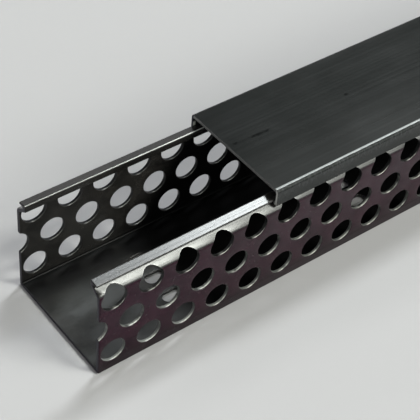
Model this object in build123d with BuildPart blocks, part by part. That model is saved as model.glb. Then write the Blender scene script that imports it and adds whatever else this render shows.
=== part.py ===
from build123d import *
import math
import os

os.makedirs("parts", exist_ok=True)

# All sizes are in millimetres. X runs along the duct, Z is up, and the origin
# is the centre of the channel's underside. The open end is at minus X.

# Channel
length = 1828.8
width = 57.15
shoulder_height = 43.1
wall = 1.8
base = 1.8
corner_round = 1.0
inside_round = 0.8

# Sloping shoulder and snap lip along the top of each side wall
shoulder_angle = 34.0
shoulder_round = 2.5
lip_inset = 2.1
lip_width = 4.1
lip_edge = 0.9
lip_angle = 10.0
lip_neck = 1.8
lip_edge_round = 0.15
lip_crest_round = 0.6

# Round holes through the side walls, in staggered rows
hole_diameter = 11.1
hole_pitch = 16.7
first_row_height = 10.3
first_hole_offset = -1.65

# Mounting slots through the base, three side by side
slot_width = 5.1
slot_length = 9.5
slot_pitch = 101.6
slot_spread = 12.0
slots_abreast = 3
first_slot_offset = 47.35

# Snap cover, of the same stock length, slid back from the open end
cover_length = length
cover_setback = 83.25
cover_plate = 1.5
cover_flange = 1.2
cover_headroom = 3.0
cover_round = 1.4
cover_inside_round = 0.6
hook_reach = 0.6
hook_edge = 1.3
hook_drop = 0.15
hook_round = 0.2
fit_gap = 0.3

# Half of each section lies on the plus Y side of the centre line. The cover's
# hook sits between the channel's shoulder and the underside of its lip.
half_width = width / 2
shoulder_slope = math.tan(math.radians(shoulder_angle))
slope_stretch = 1 / math.cos(math.radians(shoulder_angle))
lip_rise = lip_width * math.tan(math.radians(lip_angle))


def shoulder_z(y, depth=0.0):
    """Height of the sloping shoulder at y, or of a line that deep below it."""
    return shoulder_height + (half_width - y) * shoulder_slope - depth * slope_stretch


lip_outer = half_width - lip_inset
lip_inner = lip_outer - lip_width
hook_tip = lip_outer - hook_reach
hook_tip_foot = shoulder_z(hook_tip, -fit_gap)
hook_top = hook_tip_foot + hook_edge
lip_underside = hook_top + fit_gap
lip_outer_top = lip_underside + lip_edge
lip_crest = lip_outer_top + lip_rise
groove_root = lip_inner + lip_neck
inner_wall = half_width - wall

channel_corners = [
    ((half_width, 0), corner_round),
    ((half_width, shoulder_height), shoulder_round),
    ((groove_root, shoulder_z(groove_root)), 0),
    ((groove_root, lip_underside), 0),
    ((lip_outer, lip_underside), lip_edge_round),
    ((lip_outer, lip_outer_top), lip_edge_round),
    ((lip_inner, lip_crest), lip_crest_round),
    ((lip_inner, shoulder_z(lip_inner, wall)), 0),
    ((inner_wall, shoulder_z(inner_wall, wall)), inside_round),
    ((inner_wall, base), inside_round),
]
channel_points, channel_radii = zip(*channel_corners)

# Each hole row is half a pitch out of step with the next, so that any three
# neighbouring holes stand on an equilateral triangle.
row_pitch = hole_pitch * math.sin(math.radians(60))
row_count = int((shoulder_height - first_row_height) / row_pitch) + 1
holes_per_row = int(length / hole_pitch) + 2
first_hole_x = first_hole_offset - length / 2
hole_centres = [
    (
        first_hole_x + hole_pitch * (place + (row + 1) % 2 / 2),
        first_row_height + row_pitch * row,
    )
    for row in range(row_count)
    for place in range(holes_per_row)
]
slot_count = int((length - first_slot_offset - slot_length / 2) / slot_pitch) + 1
slot_middle = first_slot_offset - length / 2 + slot_pitch * (slot_count - 1) / 2

with BuildPart() as duct_channel:
    with BuildSketch(Plane.YZ):
        with BuildLine():
            FilletPolyline((0, 0), *channel_points, (0, base), radius=channel_radii)
            Line((0, base), (0, 0))
        make_face()
        mirror(about=Plane.YZ)
    extrude(amount=length / 2, both=True)
    with BuildSketch(Plane.XZ):
        with Locations(*hole_centres):
            Circle(hole_diameter / 2)
    extrude(amount=width, both=True, mode=Mode.SUBTRACT)
    with BuildSketch(Plane.XY):
        with Locations((slot_middle, 0)):
            with GridLocations(slot_pitch, slot_spread, slot_count, slots_abreast):
                SlotOverall(slot_length, slot_width)
    extrude(amount=base, mode=Mode.SUBTRACT)
duct_channel.part.label = "duct_channel"
export_step(duct_channel.part, "parts/duct_channel.step")

# The cover's flanges hang outside the lips, and a hook along the foot of each
# one reaches in under its lip.
flange_inner = lip_outer + fit_gap
flange_outer = flange_inner + cover_flange
cover_underside = lip_crest + cover_headroom
cover_top = cover_underside + cover_plate

cover_corners = [
    ((flange_outer, cover_top), cover_round),
    ((flange_outer, hook_tip_foot - hook_drop), hook_round),
    ((hook_tip, hook_tip_foot), hook_round),
    ((hook_tip, hook_top), hook_round),
    ((flange_inner, hook_top), 0),
    ((flange_inner, cover_underside), cover_inside_round),
]
cover_points, cover_radii = zip(*cover_corners)
cover_start = cover_setback - length / 2

with BuildPart() as snap_cover:
    with BuildSketch(Plane.YZ.offset(cover_start)):
        with BuildLine():
            FilletPolyline(
                (0, cover_top), *cover_points, (0, cover_underside), radius=cover_radii
            )
            Line((0, cover_underside), (0, cover_top))
        make_face()
        mirror(about=Plane.YZ)
    extrude(amount=cover_length)
snap_cover.part.label = "snap_cover"
export_step(snap_cover.part, "parts/snap_cover.step")
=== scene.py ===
import math

import bpy
from mathutils import Euler, Matrix, Vector


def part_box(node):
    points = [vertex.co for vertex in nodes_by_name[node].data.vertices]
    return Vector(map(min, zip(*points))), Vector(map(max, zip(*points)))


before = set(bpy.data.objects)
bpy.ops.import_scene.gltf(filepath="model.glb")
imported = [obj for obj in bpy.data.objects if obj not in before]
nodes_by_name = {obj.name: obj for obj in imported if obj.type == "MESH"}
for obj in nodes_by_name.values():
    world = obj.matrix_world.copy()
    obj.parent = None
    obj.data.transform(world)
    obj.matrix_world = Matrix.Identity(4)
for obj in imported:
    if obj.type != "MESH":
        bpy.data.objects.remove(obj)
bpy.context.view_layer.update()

scene = bpy.context.scene
scene.view_settings.view_transform = "Standard"

# Sizes of the duct, in metres. X runs along it and the open end is at minus X.
LENGTH = 1.8288
OPEN_END = -LENGTH / 2
HALF_WIDTH = 0.028575
WALL = 0.0018
INNER_FACE = HALF_WIDTH - WALL
BASE = 0.0018
HOLE_RADIUS = 0.00555
HOLE_PITCH = 0.0167
ROW_PITCH = HOLE_PITCH * math.sqrt(3) / 2
FIRST_ROW = 0.0103
LAST_ROW_INDEX = 2.0
FIRST_HOLE = OPEN_END - 0.00165
LIP_REACH = 0.0065
COVER_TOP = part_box("snap_cover")[1].z
COVER_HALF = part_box("snap_cover")[1].y
COVER_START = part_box("snap_cover")[0].x

# Heights on the channel, above its underside
LOW_ROW_ENDS = 0.0165
TOP_ROW_STARTS = 0.0335
INSIDE_ENDS = 0.0410
BEND_ENDS = 0.0425
LIP_STARTS = 0.0464
LIP_CREST = 0.0481

# Marks on top of the cover, each from one point in the XY plane to another
RUB_MARK = ((-0.8285, 0.0034), (-0.8100, 0.0027))
SPECK_MARK = ((-0.7693, 0.0027), (-0.7677, 0.0031))

# Depths of the draw lines, the fine grain, the lip's lines and the saw marks, in metres
DRAW_LINE_DEPTH = 0.000004
BROAD_LINE_DEPTH = 0.000006
GRAIN_DEPTH = 0.00000054
LIP_LINE_DEPTH = 0.00006
SAW_MARK_DEPTH = 0.00003

# Roughness and gloss of the plain plastic
ROUGHNESS = 0.2
GLOSS = 0.5

# How far the painted glint reaches into a bore, in the top row and in the others, and the
# direction in the XZ plane that its glint faces
GLINT_DEPTH = 0.0009
TOP_GLINT_DEPTH = 0.0004
SPOT_X = -0.42
SPOT_Z = 0.91

# Radius of the worn edges, and the turn past which an edge is rounded
CHANNEL_EDGE = 0.0003
COVER_EDGE = 0.00018
SHARP = math.radians(60)


def colour(red, green, blue):
    return (red, green, blue, 1.0)


# Colours of the channel
CHANNEL_DARK = colour(0.0085, 0.0079, 0.0074)
CHANNEL_LIGHT = colour(0.022, 0.0207, 0.0195)
SHEEN_DARK = colour(0.008, 0.0018, 0.0042)
SHEEN_LIGHT = colour(0.021, 0.0056, 0.0110)
SHEEN_LOW = colour(0.0085, 0.0082, 0.0075)
SHEEN_SPECK = colour(0.055, 0.050, 0.050)
END_TINT = colour(1.0, 0.58, 0.92)
OUTER_TINT = colour(1.0, 0.74, 0.90)
INSIDE_MOTTLE = colour(0.034, 0.031, 0.028)
DUST = colour(0.036, 0.037, 0.037)
DUST_AND_PAINTED_LIGHT = colour(0.064, 0.067, 0.066)
INSIDE_SHADE = colour(0.0036, 0.0036, 0.0038)
RIM = colour(0.030, 0.028, 0.027)
BORE_DARK = colour(0.028, 0.029, 0.027)
BORE_LIGHT = colour(0.150, 0.154, 0.142)
LIT_LOW_BORE = colour(0.155, 0.160, 0.150)
SHADED_TOP_BORE = colour(0.006, 0.006, 0.006)
SHADED_FAR_BORE = colour(0.003, 0.003, 0.004)
PAINTED_GLINT = colour(0.80, 0.80, 0.74)
CHANNEL_SAWN = colour(0.014, 0.011, 0.021)
CREST_HIGHLIGHT = colour(0.60, 0.60, 0.58)

# Colours of the cover
COVER_DARK = colour(0.0110, 0.0122, 0.0118)
COVER_LIGHT = colour(0.0155, 0.0170, 0.0165)
TOP_SHEEN = colour(0.029, 0.030, 0.0295)
END_SHADE = colour(0.0075, 0.0085, 0.0083)
RUB = colour(0.002, 0.002, 0.002)
HAIRLINE = colour(0.035, 0.037, 0.037)
SHOULDER_HIGHLIGHT = colour(0.33, 0.345, 0.345)
FLANGE_STREAK_AND_LIGHT = colour(0.046, 0.049, 0.051)
PLATE_SAWN = colour(0.14, 0.14, 0.135)
NEAR_FLANGE_END_LIT = colour(0.50, 0.50, 0.47)
FAR_FLANGE_END_SHADED = colour(0.012, 0.012, 0.026)
FAR_INNER_LIGHT = colour(0.75, 0.75, 0.70)

# Colours of the floor and the studio, and tints of the lamps
FLOOR_PALE = colour(0.505, 0.495, 0.505)
FLOOR_GREY = colour(0.27, 0.265, 0.27)
FLOOR_GLOW = colour(0.98, 0.97, 1.0)
STUDIO_LOW = colour(0.60, 0.62, 0.64)
STUDIO_HIGH = colour(0.03, 0.031, 0.032)
FRONT_TINT = (0.97, 1.0, 0.93)
TOP_TINT = (0.94, 0.995, 1.0)
PLAIN_TINT = (1.0, 1.0, 1.0)


class Graph:
    """A material's node tree, with short calls for the nodes used here."""

    def __init__(self, name):
        self.material = bpy.data.materials.new(name)
        self.material.use_nodes = True
        self.tree = self.material.node_tree
        self.tree.nodes.clear()
        self.shader = self.new("ShaderNodeBsdfPrincipled")
        output = self.new("ShaderNodeOutputMaterial")
        self.link(self.shader.outputs["BSDF"], output.inputs["Surface"])
        self.place = self.new("ShaderNodeTexCoord").outputs["Object"]
        self.x, self.y, self.z = self.split(self.place)
        normal = self.new("ShaderNodeNewGeometry").outputs["Normal"]
        self.normal_x, self.normal_y, self.normal_z = self.split(normal)

    def new(self, kind, **settings):
        node = self.tree.nodes.new(kind)
        for key, value in settings.items():
            setattr(node, key, value)
        return node

    def link(self, source, target):
        self.tree.links.new(source, target)

    def put(self, node, socket, value):
        """Gives a socket a number, colour or vector, or links another node's output to it."""
        if isinstance(value, bpy.types.NodeSocket):
            self.link(value, node.inputs[socket])
        else:
            node.inputs[socket].default_value = value

    def math(self, operation, *values):
        node = self.new("ShaderNodeMath", operation=operation)
        for index, value in enumerate(values):
            self.put(node, index, value)
        return node.outputs[0]

    def add(self, *values):
        total = values[0]
        for value in values[1:]:
            total = self.math("ADD", total, value)
        return total

    def times(self, *values):
        product = values[0]
        for value in values[1:]:
            product = self.math("MULTIPLY", product, value)
        return product

    def less(self, a, b):
        return self.math("SUBTRACT", a, b)

    def larger(self, a, b):
        return self.math("MAXIMUM", a, b)

    def smaller(self, a, b):
        return self.math("MINIMUM", a, b)

    def ratio(self, a, b):
        return self.math("DIVIDE", a, b)

    def size(self, a):
        return self.math("ABSOLUTE", a)

    def split(self, vector):
        node = self.new("ShaderNodeSeparateXYZ")
        self.link(vector, node.inputs[0])
        return node.outputs

    def distance_from(self, point):
        node = self.new("ShaderNodeVectorMath", operation="DISTANCE")
        self.link(self.place, node.inputs[0])
        node.inputs[1].default_value = point
        return node.outputs["Value"]

    def noise(self, scale, detail=3.0, rough=0.5, stretch=(1, 1, 1), offset=(0, 0, 0)):
        """Noise whose features are 1 / scale metres long, or shorter along a stretched axis."""
        node = self.new("ShaderNodeTexNoise")
        mapping = self.new("ShaderNodeMapping")
        self.link(self.place, mapping.inputs["Vector"])
        mapping.inputs["Scale"].default_value = stretch
        mapping.inputs["Location"].default_value = offset
        self.link(mapping.outputs[0], node.inputs["Vector"])
        node.inputs["Scale"].default_value = scale
        node.inputs["Detail"].default_value = detail
        node.inputs["Roughness"].default_value = rough
        return node.outputs["Fac"]

    def ramp(self, value, low, high, to_low=0.0, to_high=1.0):
        """Goes smoothly from to_low, where the value is low, to to_high, where it is high."""
        node = self.new("ShaderNodeMapRange", interpolation_type="SMOOTHSTEP")
        self.put(node, "Value", value)
        node.inputs["From Min"].default_value = low
        node.inputs["From Max"].default_value = high
        node.inputs["To Min"].default_value = to_low
        node.inputs["To Max"].default_value = to_high
        return node.outputs["Result"]

    def above(self, value, limit, soft=0.0001):
        """0 up to the limit, and 1 once the value is soft past it."""
        return self.ramp(value, limit, limit + soft)

    def below(self, value, limit, soft=0.0001):
        """1 up to the limit, and 0 once the value is soft past it."""
        return self.ramp(value, limit, limit + soft, 1.0, 0.0)

    def mix(self, factor, a, b):
        node = self.new("ShaderNodeMix", data_type="RGBA")
        self.put(node, 0, factor)
        self.put(node, 6, a)
        self.put(node, 7, b)
        return node.outputs[2]

    def coats(self, bottom, *coats):
        """Lays colours over the bottom one in turn, each by its own mask."""
        for mask, over in coats:
            bottom = self.mix(mask, bottom, over)
        return bottom

    def bump(self, height, distance):
        node = self.new("ShaderNodeBump")
        node.inputs["Distance"].default_value = distance
        node.inputs["Strength"].default_value = 1.0
        self.put(node, "Height", height)
        return node.outputs[0]

    def near_line(self, ends, half_width, soft):
        """1 on a straight mark between two points in the XY plane, fading out over soft metres."""
        start, end = ends
        along = Vector(end) - Vector(start)
        length = along.length
        along = along / length
        dx = self.less(self.x, start[0])
        dy = self.less(self.y, start[1])
        run = self.add(self.times(dx, along.x), self.times(dy, along.y))
        off = self.size(self.less(self.times(dy, along.x), self.times(dx, along.y)))
        past = self.larger(self.times(run, -1.0), self.less(run, length))
        sideways = self.below(off, half_width, soft)
        lengthways = self.ramp(past, -soft, soft, 1.0, 0.0)
        return self.times(sideways, lengthways)


def extruded_plastic(name, dark, light):
    """Black extruded plastic: cloudy colour, draw lines along X, a fine grain and smudges."""
    g = Graph(name)
    g.side = g.size(g.y)
    g.far_half = g.above(g.y, 0.0, soft=0.001)
    g.sawn = g.ramp(g.size(g.normal_x), 0.85, 0.95)
    clouds = g.noise(38.0, detail=4.0, rough=0.6)
    broad_lines = g.noise(1.0, detail=2.0, stretch=(1.5, 160.0, 160.0))
    tone = g.add(g.times(clouds, 0.75), g.times(broad_lines, 0.25))
    g.base = g.mix(g.ramp(tone, 0.36, 0.64), dark, light)
    fine_lines = g.noise(1.0, rough=0.6, stretch=(5.0, 1100.0, 1100.0))
    smudges = g.noise(22.0, rough=0.6, stretch=(0.5, 1.0, 1.0), offset=(3.1, 0.4, 0.0))
    g.rough = g.add(
        g.ramp(smudges, 0.3, 0.7, ROUGHNESS - 0.03, ROUGHNESS + 0.04),
        g.ramp(fine_lines, 0.3, 0.7, -0.015, 0.02),
    )
    grain = g.noise(2600.0, detail=2.0)
    g.height = g.add(
        g.times(fine_lines, DRAW_LINE_DEPTH),
        g.times(broad_lines, BROAD_LINE_DEPTH),
        g.times(grain, GRAIN_DEPTH),
    )
    g.shader.inputs["IOR"].default_value = 1.5
    return g


def finish_plastic(g):
    g.link(g.base, g.shader.inputs["Base Color"])
    g.link(g.rough, g.shader.inputs["Roughness"])
    g.link(g.gloss, g.shader.inputs["Specular IOR Level"])
    g.link(g.bump(g.height, 1.0), g.shader.inputs["Normal"])
    return g.material


def hole_distance(g):
    """Distance in the XZ plane from the axis of the nearest round hole."""
    row = g.math("ROUND", g.ratio(g.less(g.z, FIRST_ROW), ROW_PITCH))
    row = g.smaller(g.larger(row, 0.0), LAST_ROW_INDEX)
    half_step = g.times(g.size(g.less(row, 1.0)), 0.5)
    place = g.less(g.ratio(g.less(g.x, FIRST_HOLE), HOLE_PITCH), half_step)
    along = g.times(g.less(g.math("FRACT", g.add(place, 0.5)), 0.5), HOLE_PITCH)
    up = g.less(g.less(g.z, FIRST_ROW), g.times(row, ROW_PITCH))
    return g.math("SQRT", g.add(g.times(along, along), g.times(up, up)))


def outer_sheen(g):
    """Colour of the flat outer faces: a faint purple sheen, greyer towards the floor."""
    clouds = g.noise(70.0, rough=0.6, offset=(1.0, 2.0, 3.0))
    grain = g.noise(560.0, detail=2.0, rough=0.6, offset=(0.0, 3.0, 5.0))
    tone = g.add(g.times(clouds, 0.5), g.times(grain, 0.5))
    specks = g.ramp(g.noise(900.0, detail=1.0, offset=(0.0, 1.0, 8.0)), 0.66, 0.74)
    return g.coats(
        g.mix(g.ramp(tone, 0.38, 0.62), SHEEN_DARK, SHEEN_LIGHT),
        (g.ramp(g.z, 0.002, 0.012, 0.7, 0.0), SHEEN_LOW),
        (g.times(specks, 0.35), SHEEN_SPECK),
    )


def bore_colour(g):
    """Colour of the holes' bores, and the mask of their painted glints.

    The bores are frosted. By the open end the low rows' bores are painted paler as painted
    light, and the top row's and the far wall's are painted dark as painted shade. Painted
    glints lie on the near wall's outer rims and the far wall's inner ones.
    """
    frost = g.noise(420.0, rough=0.6, offset=(2.0, 0.0, 1.0))
    # Painted light: the low rows' bores are paler by the open end.
    lit_low_row = g.below(g.z, LOW_ROW_ENDS, soft=0.0005)
    lit_low_row = g.times(lit_low_row, g.ramp(g.x, OPEN_END + 0.02, OPEN_END + 0.09, 0.8, 0.35))
    facing_spot = g.add(g.times(g.normal_x, SPOT_X), g.times(g.normal_z, SPOT_Z))
    glint_depth = g.less(GLINT_DEPTH, g.times(g.top_row, GLINT_DEPTH - TOP_GLINT_DEPTH))
    into_bore = g.ratio(g.less(HALF_WIDTH - 0.0002, g.side), glint_depth)
    near_half = g.below(g.y, -0.001, soft=0.001)
    near_rim = g.times(g.ramp(into_bore, 0.1, 1.0, 1.0, 0.0), near_half)
    far_rim = g.times(g.below(g.side, INNER_FACE + 0.0002, soft=0.0004), g.far_half)
    far_rim = g.times(far_rim, g.less(0.50, g.times(g.top_row, 0.32)))
    # Painted glints on the rims, strongest where the bore faces the set direction.
    painted_glint = g.times(
        g.add(near_rim, far_rim),
        g.ramp(facing_spot, 0.72, 0.99),
        g.ramp(frost, 0.38, 0.56, 0.3, 1.0),
    )
    tone = g.coats(
        g.mix(g.ramp(frost, 0.35, 0.65), BORE_DARK, BORE_LIGHT),
        (lit_low_row, LIT_LOW_BORE),
        (g.times(g.top_row, 0.95), SHADED_TOP_BORE),
        (g.times(g.far_half, 0.95), SHADED_FAR_BORE),
        (painted_glint, PAINTED_GLINT),
    )
    return tone, painted_glint


def channel_material():
    g = extruded_plastic("channel_pvc", CHANNEL_DARK, CHANNEL_LIGHT)
    g.top_row = g.above(g.z, TOP_ROW_STARTS, soft=0.0005)
    in_wall = g.above(g.side, HALF_WIDTH - LIP_REACH - 0.0001)
    away = hole_distance(g)
    bore = g.times(g.below(away, HOLE_RADIUS + 0.00002, soft=0.00006), in_wall)
    rim = g.times(g.below(away, HOLE_RADIUS, soft=0.0006), in_wall)
    not_bore = g.less(1.0, bore)
    sawn = g.times(g.sawn, not_bore)
    outer = g.times(g.above(g.side, HALF_WIDTH - 0.0004, soft=0.00035), not_bore)

    # The inside is mottled, and its floor dusty; in the middle by the open end it is paler still,
    # with painted light mixed into the dust.
    inside = g.times(
        g.below(g.side, INNER_FACE + 0.00005),
        g.below(g.z, INSIDE_ENDS, soft=0.0005),
        g.above(g.z, BASE - 0.0002),
    )
    on_floor = g.times(inside, g.ramp(g.normal_z, 0.6, 0.8))
    fine_mottle = g.noise(210.0, detail=4.0, rough=0.7, offset=(6.0, 1.0, 0.0))
    fine_mottle = g.times(inside, g.ramp(fine_mottle, 0.40, 0.66), 0.6)
    mottle = g.noise(62.0, detail=5.0, rough=0.65, stretch=(0.8, 1.3, 1.0), offset=(0.3, 5.0, 0.0))
    dust = g.times(on_floor, g.ramp(mottle, 0.42, 0.62))
    # Painted light mixed with dust: the floor's middle by the open end is painted paler.
    dust_and_painted_light = g.times(
        on_floor,
        g.ramp(g.x, OPEN_END + 0.002, OPEN_END + 0.011, 0.35, 1.0),
        g.ramp(g.x, OPEN_END + 0.004, OPEN_END + 0.046, 1.0, 0.0),
        g.ramp(g.y, -0.014, 0.004, 0.1, 1.0),
        g.ramp(g.y, 0.008, 0.021, 1.0, 0.0),
        g.ramp(mottle, 0.30, 0.62, 0.45, 1.0),
    )

    # The shade deepens under the cover, at both sides of the floor and on the far wall.
    leaning = g.less(g.x, g.times(g.z, 0.6))
    deep = g.times(inside, g.ramp(leaning, OPEN_END + 0.040, OPEN_END + 0.062))
    far_side = g.times(on_floor, g.ramp(g.y, 0.006, 0.021, 0.0, 0.90))
    near_side = g.times(on_floor, g.ramp(g.y, -0.016, 0.004, 0.50, 0.0))
    far_wall = g.times(
        inside,
        g.above(g.y, 0.0262, soft=0.0004),
        g.ramp(g.x, OPEN_END, OPEN_END + 0.070, 0.42, 0.03),
    )
    far_corner = g.times(
        inside,
        g.below(g.z, BASE + 0.0008, soft=0.0002),
        g.above(g.y, 0.0248, soft=0.0007),
        g.ramp(g.x, OPEN_END + 0.030, OPEN_END + 0.070, 0.7, 1.0),
    )
    shade = g.smaller(g.add(deep, far_side, near_side, far_wall, far_corner), 1.0)

    # Painted highlight: the far lip's inner edge is painted pale, more so away from the open end.
    crest = g.times(
        g.below(g.side, HALF_WIDTH - 0.0059, soft=0.0003),
        g.above(g.z, LIP_CREST, soft=0.00016),
        g.far_half,
        g.ramp(g.x, OPEN_END + 0.020, OPEN_END + 0.080, 0.25, 0.9),
    )
    bore_tone, painted_glint = bore_colour(g)
    g.base = g.coats(
        g.base,
        (outer, outer_sheen(g)),
        (fine_mottle, INSIDE_MOTTLE),
        (dust, DUST),
        (dust_and_painted_light, DUST_AND_PAINTED_LIGHT),
        (shade, INSIDE_SHADE),
        (g.times(rim, 0.5), RIM),
        (bore, bore_tone),
        (sawn, CHANNEL_SAWN),
        (crest, CREST_HIGHLIGHT),
    )

    floor_rough = g.add(g.times(on_floor, 0.12), g.times(dust, 0.14))
    g.rough = g.add(g.rough, floor_rough, g.times(bore, 0.16), g.times(sawn, 0.2))

    # The outer faces, the shaded inside, the dark bores and the cut ends reflect less.
    dark_bore = g.times(bore, g.larger(g.far_half, g.times(g.top_row, 0.7)), g.less(1.0, painted_glint))
    dulled = g.add(
        g.times(shade, 0.38),
        g.times(outer, g.ramp(g.x, OPEN_END + 0.010, OPEN_END + 0.100, 0.33, 0.20)),
        g.times(sawn, 0.30),
        g.times(deep, 0.10),
        g.times(dark_bore, 0.36),
    )
    bright_rim = g.times(rim, g.above(g.z, BEND_ENDS, soft=0.0005), 0.3)
    g.gloss = g.add(g.larger(g.less(GLOSS, dulled), 0.0), bright_rim)
    tint = g.mix(g.ramp(g.x, OPEN_END + 0.010, OPEN_END + 0.070), END_TINT, OUTER_TINT)
    g.link(g.mix(outer, colour(*PLAIN_TINT), tint), g.shader.inputs["Specular Tint"])

    # The cut ends carry saw marks, and the lips show stronger draw lines.
    saw_marks = g.noise(1.0, detail=2.0, stretch=(100.0, 900.0, 900.0), offset=(0.0, 0.7, 0.0))
    lip = g.above(g.z, LIP_STARTS, soft=0.0004)
    lip_lines = g.noise(
        1.0, detail=1.0, rough=0.4, stretch=(0.3, 900.0, 20.0), offset=(7.0, 0.0, 0.0)
    )
    g.height = g.add(
        g.height,
        g.times(sawn, saw_marks, SAW_MARK_DEPTH),
        g.times(lip, lip_lines, LIP_LINE_DEPTH),
    )
    return finish_plastic(g)


def cover_marks(g):
    """Mask of the dark marks near the cover's end: one long broken rub and a speck."""
    rub = g.near_line(RUB_MARK, 0.0002, 0.0009)
    rub_breaks = g.noise(330.0, rough=0.6, offset=(0.0, 9.0, 0.0))
    rub = g.times(rub, g.ramp(rub_breaks, 0.44, 0.60, 0.10, 1.0), 0.85)
    speck = g.times(g.near_line(SPECK_MARK, 0.0004, 0.0006), 0.7)
    return g.smaller(g.add(rub, speck), 1.0)


def cover_material():
    g = extruded_plastic("cover_pvc", COVER_DARK, COVER_LIGHT)

    # The top is paler towards the near edge as a painted sheen, darker by its end as painted
    # shade, and scattered with hairlines.
    on_top = g.above(g.z, COVER_TOP - 0.0001, soft=0.00008)
    top_sheen = g.times(on_top, g.ramp(g.y, -0.026, 0.010, 0.6, 0.0))
    end_shade = g.times(
        on_top, g.ramp(g.x, -0.832, -0.792, 0.7, 0.0), g.ramp(g.y, -0.010, 0.012)
    )
    marks = g.times(on_top, cover_marks(g))
    hairs = g.noise(
        1.0, detail=1.0, rough=0.4, stretch=(45.0, 900.0, 1.0), offset=(4.0, 0.0, 0.0)
    )
    hairs = g.times(on_top, g.ramp(hairs, 0.70, 0.76), 0.10)

    # The near shoulder carries a pale line as a painted highlight, and the flange below it is
    # streaked, with painted light in the streaks towards its top, and duller.
    flange = g.above(g.side, COVER_HALF - 0.0013, soft=0.0003)
    # Painted highlight along the near shoulder.
    shoulder = g.times(g.below(g.y, 0.0019 - COVER_HALF, soft=0.0002), g.less(1.0, flange))
    flange_dull = g.add(
        g.ramp(g.z, COVER_TOP - 0.0070, COVER_TOP - 0.0012, 0.32, 0.25),
        g.ramp(g.z, COVER_TOP - 0.0014, COVER_TOP - 0.0009, 0.0, 0.15),
    )
    streaks_and_light = g.noise(1.0, rough=0.7, stretch=(1500.0, 1.0, 330.0), offset=(2.0, 0.0, 6.0))
    # Streaks with painted light: they grow stronger towards the flange's top, below the shoulder
    # highlight.
    streaks_and_light = g.times(
        flange,
        g.ramp(streaks_and_light, 0.42, 0.72),
        g.ramp(g.z, COVER_TOP - 0.0050, COVER_TOP - 0.0008, 0.12, 1.0),
    )

    # The cut end is pale; the near flange's end is paler still as painted light, the far flange's
    # end dark as painted shade, and the far flange's inner face by the end carries a pale patch of
    # painted light.
    flange_end = g.above(g.side, COVER_HALF - 0.0014, soft=0.0002)
    flange_tone = g.mix(g.far_half, NEAR_FLANGE_END_LIT, FAR_FLANGE_END_SHADED)
    # Painted light on the far flange's inner face by the cut end.
    far_inner_light = g.times(
        g.below(g.x, COVER_START + 0.0006, soft=0.0012),
        g.far_half,
        g.ramp(g.normal_y, -0.9, -0.7, 1.0, 0.0),
        g.below(g.z, 0.0485, soft=0.0015),
    )
    g.base = g.coats(
        g.base,
        (top_sheen, TOP_SHEEN),
        (end_shade, END_SHADE),
        (marks, RUB),
        (hairs, HAIRLINE),
        (shoulder, SHOULDER_HIGHLIGHT),
        (streaks_and_light, FLANGE_STREAK_AND_LIGHT),
        (g.sawn, g.mix(flange_end, PLATE_SAWN, flange_tone)),
        (far_inner_light, FAR_INNER_LIGHT),
    )
    g.rough = g.add(g.rough, g.times(g.sawn, 0.25))
    dulled = g.add(g.times(marks, 0.45), g.times(flange, flange_dull))
    g.gloss = g.add(g.less(GLOSS, dulled), g.times(shoulder, 0.15))
    return finish_plastic(g)


def finish_node(node, material, edge):
    """Rounds a CAD node's sharp edges with modifiers, and gives it its material."""
    piece = nodes_by_name[node]
    for slot in piece.material_slots:
        slot.material = material
    weld = piece.modifiers.new("weld", "WELD")
    weld.merge_threshold = 1e-6
    bevel = piece.modifiers.new("worn_edges", "BEVEL")
    bevel.width = edge
    bevel.segments = 1
    bevel.limit_method = "ANGLE"
    bevel.angle_limit = SHARP
    bevel.use_clamp_overlap = False
    bevel.loop_slide = False
    shading = piece.modifiers.new("shading", "WEIGHTED_NORMAL")
    shading.keep_sharp = False
    shading.weight = 60


finish_node("duct_channel", channel_material(), CHANNEL_EDGE)
finish_node("snap_cover", cover_material(), COVER_EDGE)

# Plain pale floor
FLOOR_HALF = 15.0
FLOOR_DROP = 0.0001
corners = [(-FLOOR_HALF, -FLOOR_HALF, 0), (FLOOR_HALF, -FLOOR_HALF, 0)]
corners += [(FLOOR_HALF, FLOOR_HALF, 0), (-FLOOR_HALF, FLOOR_HALF, 0)]
floor_mesh = bpy.data.meshes.new("floor")
floor_mesh.from_pydata(corners, [], [(0, 1, 2, 3)])
floor = bpy.data.objects.new("floor", floor_mesh)
floor.location.z = -FLOOR_DROP
scene.collection.objects.link(floor)

# It is greyer right below the front lamps, and shown pale to the horizon, where they don't reach.
BELOW_LAMPS = (2.5, -3.1, 0.0)
GREY_WITHIN = 0.2
GREY_ENDS = 3.2
DUCT_MIDDLE = (0.0, 0.0, 0.0)
GLOW_STARTS = 1.5
GLOW_FULL = 9.0
GLOW_STRENGTH = 0.60
paper = Graph("pale_floor")
paper.put(paper.shader, "Roughness", 0.9)
paper.put(paper.shader, "Specular IOR Level", 0.1)
below_lamps = paper.ramp(paper.distance_from(BELOW_LAMPS), GREY_WITHIN, GREY_ENDS, 1.0, 0.0)
paper.put(paper.shader, "Base Color", paper.mix(below_lamps, FLOOR_PALE, FLOOR_GREY))
rays = paper.new("ShaderNodeLightPath")
seen = paper.larger(rays.outputs["Is Camera Ray"], rays.outputs["Is Glossy Ray"])
far_floor = paper.ramp(paper.distance_from(DUCT_MIDDLE), GLOW_STARTS, GLOW_FULL)
paper.put(paper.shader, "Emission Color", FLOOR_GLOW)
paper.put(paper.shader, "Emission Strength", paper.times(far_floor, GLOW_STRENGTH, seen))
floor_mesh.materials.append(paper.material)

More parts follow.
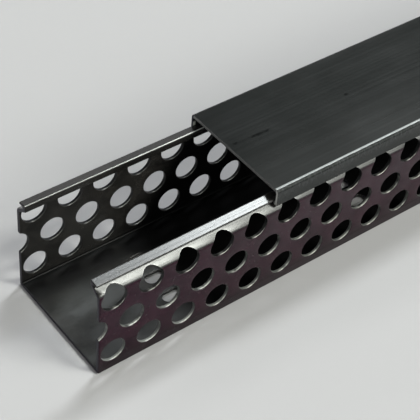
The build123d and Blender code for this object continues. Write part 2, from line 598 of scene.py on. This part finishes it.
# Studio walls, pale by the horizon and dim overhead
PALE_UP_TO = 0.12
DIM_FROM = 0.40
world = bpy.data.worlds.new("studio")
world.use_nodes = True
scene.world = world
air = world.node_tree
backdrop = air.nodes["Background"]
backdrop.inputs["Strength"].default_value = 1.0
sight = air.nodes.new("ShaderNodeTexCoord")
sight_parts = air.nodes.new("ShaderNodeSeparateXYZ")
air.links.new(sight.outputs["Generated"], sight_parts.inputs[0])
walls = air.nodes.new("ShaderNodeValToRGB")
walls.color_ramp.interpolation = "EASE"
walls.color_ramp.elements[0].position = PALE_UP_TO
walls.color_ramp.elements[0].color = STUDIO_LOW
walls.color_ramp.elements[1].position = DIM_FROM
walls.color_ramp.elements[1].color = STUDIO_HIGH
air.links.new(sight_parts.outputs["Z"], walls.inputs[0])
air.links.new(walls.outputs[0], backdrop.inputs["Color"])

# Soft lamps, all as far from the lit point
LIT_POINT = Vector((-0.86, 0.0, 0.045))
LAMP_DISTANCE = 6.0


def softbox(name, direction, along, across, radiance, tint=PLAIN_TINT):
    """A rectangular lamp seen from the lit point in that direction, its long side along X.

    Its two sizes are given for each metre of its distance.
    """
    lamp = bpy.data.lights.new(name, "AREA")
    lamp.shape = "RECTANGLE"
    lamp.size = along * LAMP_DISTANCE
    lamp.size_y = across * LAMP_DISTANCE
    lamp.energy = radiance * math.pi * lamp.size * lamp.size_y
    lamp.color = tint
    holder = bpy.data.objects.new(name, lamp)
    back = Vector(direction).normalized()
    right = (Vector((1, 0, 0)) - back * back.x).normalized()
    up = back.cross(right)
    turn = Matrix((right, up, back)).transposed().to_4x4()
    holder.matrix_world = Matrix.Translation(LIT_POINT + back * LAMP_DISTANCE) @ turn
    scene.collection.objects.link(holder)


softbox("front_box", (0.52, -0.445, 0.72), 0.33, 0.173, 9.0, FRONT_TINT)
softbox("front_end_box", (0.37, -0.48, 0.79), 0.18, 0.173, 29.0, FRONT_TINT)
softbox("low_front_box", (0.49, -0.755, 0.43), 0.45, 0.55, 4.5, FRONT_TINT)
softbox("low_end_box", (0.39, -0.69, 0.60), 0.22, 0.36, 11.0, FRONT_TINT)
softbox("left_front_box", (-0.28, -0.82, 0.50), 0.41, 0.27, 4.0, FRONT_TINT)
softbox("top_box", (0.59, 0.235, 0.765), 0.33, 0.173, 27.0, TOP_TINT)
softbox("top_end_box", (0.43, 0.265, 0.86), 0.25, 0.173, 7.5, TOP_TINT)
softbox("back_box", (-0.32, 0.56, 0.76), 0.95, 0.16, 3.0)
softbox("low_back_box", (0.50, 0.74, 0.45), 0.55, 0.23, 1.1)

# The camera, at the photograph's viewing angle
camera = bpy.data.cameras.new("camera")
camera.sensor_width = 36.0
camera.lens = 111.6387
camera.shift_x = -0.002482
camera.shift_y = -0.002134
camera.clip_start = 0.01
camera.clip_end = 100.0
viewer = bpy.data.objects.new("camera", camera)
viewer.location = (-1.094064, -0.289522, 0.393967)
viewer.rotation_euler = Euler((0.805798, -0.069305, -0.653401))
scene.collection.objects.link(viewer)
scene.camera = viewer
